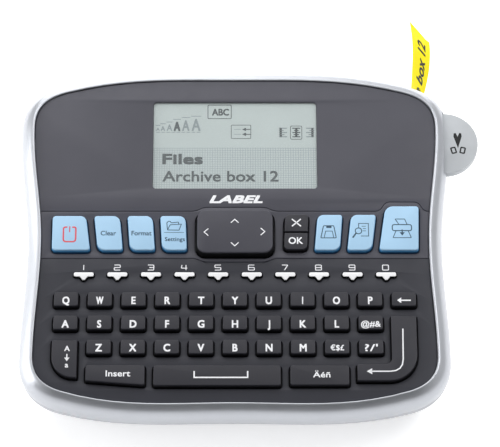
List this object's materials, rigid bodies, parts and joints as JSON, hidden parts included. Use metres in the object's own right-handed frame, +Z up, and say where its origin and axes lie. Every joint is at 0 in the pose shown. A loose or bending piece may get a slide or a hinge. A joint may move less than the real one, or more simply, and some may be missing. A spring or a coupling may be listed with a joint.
{
  "type": "label maker",
  "caption": "Desktop label maker: wedge housing, tilted face with display and full keyboard, side cutter lever, tape cassette and battery behind doors in the base.",
  "frame": {"origin": "on the resting plane, the underside of the rubber foot ring, below the middle of the face", "axes": "+X to the user's right, +Y to the rear, +Z up"},
  "size_m": [0.1821, 0.1952, 0.0559],
  "materials": {
    "silver_plastic": "satin silver-white moulded plastic",
    "case_plastic": "fine-textured dark grey plastic",
    "panel_plastic": "satin blue-grey plastic",
    "keyboard_plastic": "satin dark grey plastic",
    "clear_window": "clear polished",
    "lcd": "grey reflective display",
    "pale_plastic": "natural moulded",
    "rubber": "matte",
    "steel": "zinc plated",
    "brass": "bright",
    "black_plastic": "moulded",
    "board": "solder mask",
    "grey_rubber": "silicone",
    "yellow_tape": "glossy laminated tape",
    "ceramic": "glazed",
    "lever_plastic": "satin light grey plastic",
    "key_plastic": "satin, printed legends",
    "nav_plastic": "satin, printed arrows",
    "blue_plastic": "satin light blue",
    "white_plastic": "satin"
  },
  "bodies": {
    "case": {"upper_frame": "silver_plastic", "lower_case": "case_plastic", "display_panel": "panel_plastic", "function_panel": "panel_plastic", "keyboard_panel": "keyboard_plastic", "lcd_window": "clear_window", "lcd_glass": "lcd", "lcd_holder": "pale_plastic", "foot_ring": "rubber", "case_screws": "steel", "cassette_door_pin": "steel", "battery_pack": "black_plastic", "battery_contacts": "brass", "dc_jack": "black_plastic", "main_board": "board", "keypad_mat": "grey_rubber", "chassis": "steel", "motor": "steel", "head_spring": "steel", "cassette_shell": "black_plastic", "label_tape": "yellow_tape", "cutter_spring": "steel", "cutter_pivot_pin": "steel"},
    "cassette_door": {"cassette_door": "case_plastic"},
    "battery_door": {"battery_door": "case_plastic"},
    "cutter": {"cutter_lever": "lever_plastic", "cutter_blade": "steel"},
    "head_arm": {"print_head_arm": "steel", "print_head": "ceramic"},
    "platen": {"platen_gear": "pale_plastic", "platen_roller": "rubber"},
    "idler": {"idler_gear": "pale_plastic"},
    "pinion": {"motor_pinion": "brass"},
    "takeup": {"takeup_gear": "pale_plastic", "takeup_spool": "black_plastic"},
    "tape_spool": {"tape_spool": "yellow_tape"},
    "nav_post": {"nav_pad_post": "key_plastic"},
    "nav_pad": {"nav_pad": "nav_plastic"},
    "power_key": {"power_key": "blue_plastic"},
    "clear_key": {"clear_key": "blue_plastic"},
    "format_key": {"format_key": "blue_plastic"},
    "settings_key": {"settings_key": "blue_plastic"},
    "save_key": {"save_key": "blue_plastic"},
    "preview_key": {"preview_key": "blue_plastic"},
    "print_key": {"print_key": "blue_plastic"},
    "cancel_key": {"cancel_key": "key_plastic"},
    "ok_key": {"ok_key": "key_plastic"},
    "number_keys": {"number_keys": "white_plastic"},
    "letter_keys_top_row": {"letter_keys_top_row": "key_plastic"},
    "letter_keys_middle_row": {"letter_keys_middle_row": "key_plastic"},
    "letter_keys_bottom_row": {"letter_keys_bottom_row": "key_plastic"},
    "backspace_key": {"backspace_key": "key_plastic"},
    "symbol_key": {"symbol_key": "key_plastic"},
    "currency_key": {"currency_key": "key_plastic"},
    "punctuation_key": {"punctuation_key": "key_plastic"},
    "shift_key": {"shift_key": "key_plastic"},
    "insert_key": {"insert_key": "key_plastic"},
    "space_key": {"space_key": "key_plastic"},
    "accent_key": {"accent_key": "key_plastic"},
    "enter_key": {"enter_key": "key_plastic"}
  },
  "joints": [
    {"name": "cassette_door_hinge", "type": "hinge", "parent": "case", "child": "cassette_door", "pos_m": [0.016, -0.0006, 0.0034], "axis": [-1, 0, 0], "range_deg": [0, 95]},
    {"name": "battery_door_slide", "type": "slide", "parent": "case", "child": "battery_door", "axis": [0, -1, 0], "range_m": [0, 0.006]},
    {"name": "cutter_press", "type": "hinge", "parent": "case", "child": "cutter", "pos_m": [0.064, 0.048, 0.038], "axis": [0, 1, 0], "range_deg": [0, 8], "stiffness_Nm_per_rad": 0.35, "springref_deg": -6.88, "deforming": ["cutter_spring"]},
    {"name": "head_arm_release", "type": "hinge", "parent": "case", "child": "head_arm", "pos_m": [0.057, 0.038, 0.016], "axis": [0, 0, -1], "range_deg": [0, 6], "stiffness_Nm_per_rad": 0.3, "springref_deg": -11.46},
    {"name": "platen_turn", "type": "hinge", "parent": "case", "child": "platen", "pos_m": [0.0705, 0.022, 0.017], "axis": [0, 0, 1], "continuous": true},
    {"name": "idler_turn", "type": "hinge", "parent": "case", "child": "idler", "pos_m": [0.0579, 0.0075, 0.031], "axis": [0, 0, 1], "continuous": true},
    {"name": "pinion_turn", "type": "hinge", "parent": "case", "child": "pinion", "pos_m": [0.05101, -0.0065, 0.03], "axis": [0, 0, 1], "continuous": true},
    {"name": "takeup_turn", "type": "hinge", "parent": "case", "child": "takeup", "pos_m": [0.0386, 0.01577, 0.031], "axis": [0, 0, 1], "continuous": true},
    {"name": "tape_spool_turn", "type": "hinge", "parent": "case", "child": "tape_spool", "pos_m": [0.012, 0.0285, 0.0168], "axis": [0, 0, 1], "continuous": true},
    {"name": "nav_tilt_up_down", "type": "hinge", "parent": "case", "child": "nav_post", "pos_m": [0, 0.00153, 0.03783], "axis": [1, 0, 0], "range_deg": [-4, 4], "stiffness_Nm_per_rad": 0.06},
    {"name": "nav_tilt_left_right", "type": "hinge", "parent": "nav_post", "child": "nav_pad", "pos_m": [0, 0.00153, 0.03783], "axis": [0, 0.9816, 0.1908], "range_deg": [-2.5, 2.5], "stiffness_Nm_per_rad": 0.1},
    {"name": "power_press", "type": "slide", "parent": "case", "child": "power_key", "axis": [0, 0.1908, -0.9816], "range_m": [0, 0.001], "stiffness_N_per_m": 350, "springref_m": -0.001},
    {"name": "clear_press", "type": "slide", "parent": "case", "child": "clear_key", "axis": [0, 0.1908, -0.9816], "range_m": [0, 0.001], "stiffness_N_per_m": 350, "springref_m": -0.001},
    {"name": "format_press", "type": "slide", "parent": "case", "child": "format_key", "axis": [0, 0.1908, -0.9816], "range_m": [0, 0.001], "stiffness_N_per_m": 350, "springref_m": -0.001},
    {"name": "settings_press", "type": "slide", "parent": "case", "child": "settings_key", "axis": [0, 0.1908, -0.9816], "range_m": [0, 0.001], "stiffness_N_per_m": 350, "springref_m": -0.001},
    {"name": "save_press", "type": "slide", "parent": "case", "child": "save_key", "axis": [0, 0.1908, -0.9816], "range_m": [0, 0.001], "stiffness_N_per_m": 350, "springref_m": -0.001},
    {"name": "preview_press", "type": "slide", "parent": "case", "child": "preview_key", "axis": [0, 0.1908, -0.9816], "range_m": [0, 0.001], "stiffness_N_per_m": 350, "springref_m": -0.001},
    {"name": "print_press", "type": "slide", "parent": "case", "child": "print_key", "axis": [0, 0.1908, -0.9816], "range_m": [0, 0.001], "stiffness_N_per_m": 350, "springref_m": -0.001},
    {"name": "cancel_press", "type": "slide", "parent": "case", "child": "cancel_key", "axis": [0, 0.1908, -0.9816], "range_m": [0, 0.001], "stiffness_N_per_m": 350, "springref_m": -0.001},
    {"name": "ok_press", "type": "slide", "parent": "case", "child": "ok_key", "axis": [0, 0.1908, -0.9816], "range_m": [0, 0.001], "stiffness_N_per_m": 350, "springref_m": -0.001},
    {"name": "number_press", "type": "slide", "parent": "case", "child": "number_keys", "axis": [0, 0.1908, -0.9816], "range_m": [0, 0.001], "stiffness_N_per_m": 350, "springref_m": -0.001},
    {"name": "letter_top_row_press", "type": "slide", "parent": "case", "child": "letter_keys_top_row", "axis": [0, 0.1908, -0.9816], "range_m": [0, 0.001], "stiffness_N_per_m": 350, "springref_m": -0.001},
    {"name": "letter_middle_row_press", "type": "slide", "parent": "case", "child": "letter_keys_middle_row", "axis": [0, 0.1908, -0.9816], "range_m": [0, 0.001], "stiffness_N_per_m": 350, "springref_m": -0.001},
    {"name": "letter_bottom_row_press", "type": "slide", "parent": "case", "child": "letter_keys_bottom_row", "axis": [0, 0.1908, -0.9816], "range_m": [0, 0.001], "stiffness_N_per_m": 350, "springref_m": -0.001},
    {"name": "backspace_press", "type": "slide", "parent": "case", "child": "backspace_key", "axis": [0, 0.1908, -0.9816], "range_m": [0, 0.001], "stiffness_N_per_m": 350, "springref_m": -0.001},
    {"name": "symbol_press", "type": "slide", "parent": "case", "child": "symbol_key", "axis": [0, 0.1908, -0.9816], "range_m": [0, 0.001], "stiffness_N_per_m": 350, "springref_m": -0.001},
    {"name": "currency_press", "type": "slide", "parent": "case", "child": "currency_key", "axis": [0, 0.1908, -0.9816], "range_m": [0, 0.001], "stiffness_N_per_m": 350, "springref_m": -0.001},
    {"name": "punctuation_press", "type": "slide", "parent": "case", "child": "punctuation_key", "axis": [0, 0.1908, -0.9816], "range_m": [0, 0.001], "stiffness_N_per_m": 350, "springref_m": -0.001},
    {"name": "shift_press", "type": "slide", "parent": "case", "child": "shift_key", "axis": [0, 0.1908, -0.9816], "range_m": [0, 0.001], "stiffness_N_per_m": 350, "springref_m": -0.001},
    {"name": "insert_press", "type": "slide", "parent": "case", "child": "insert_key", "axis": [0, 0.1908, -0.9816], "range_m": [0, 0.001], "stiffness_N_per_m": 350, "springref_m": -0.001},
    {"name": "space_press", "type": "slide", "parent": "case", "child": "space_key", "axis": [0, 0.1908, -0.9816], "range_m": [0, 0.001], "stiffness_N_per_m": 350, "springref_m": -0.001},
    {"name": "accent_press", "type": "slide", "parent": "case", "child": "accent_key", "axis": [0, 0.1908, -0.9816], "range_m": [0, 0.001], "stiffness_N_per_m": 350, "springref_m": -0.001},
    {"name": "enter_press", "type": "slide", "parent": "case", "child": "enter_key", "axis": [0, 0.1908, -0.9816], "range_m": [0, 0.001], "stiffness_N_per_m": 350, "springref_m": -0.001}
  ],
  "couplings": [
    {"joint": "idler_turn", "follows": "platen_turn", "ratio": -0.6},
    {"joint": "pinion_turn", "follows": "platen_turn", "ratio": 2},
    {"joint": "takeup_turn", "follows": "platen_turn", "ratio": 0.8},
    {"joint": "tape_spool_turn", "follows": "platen_turn", "ratio": -0.2}
  ]
}
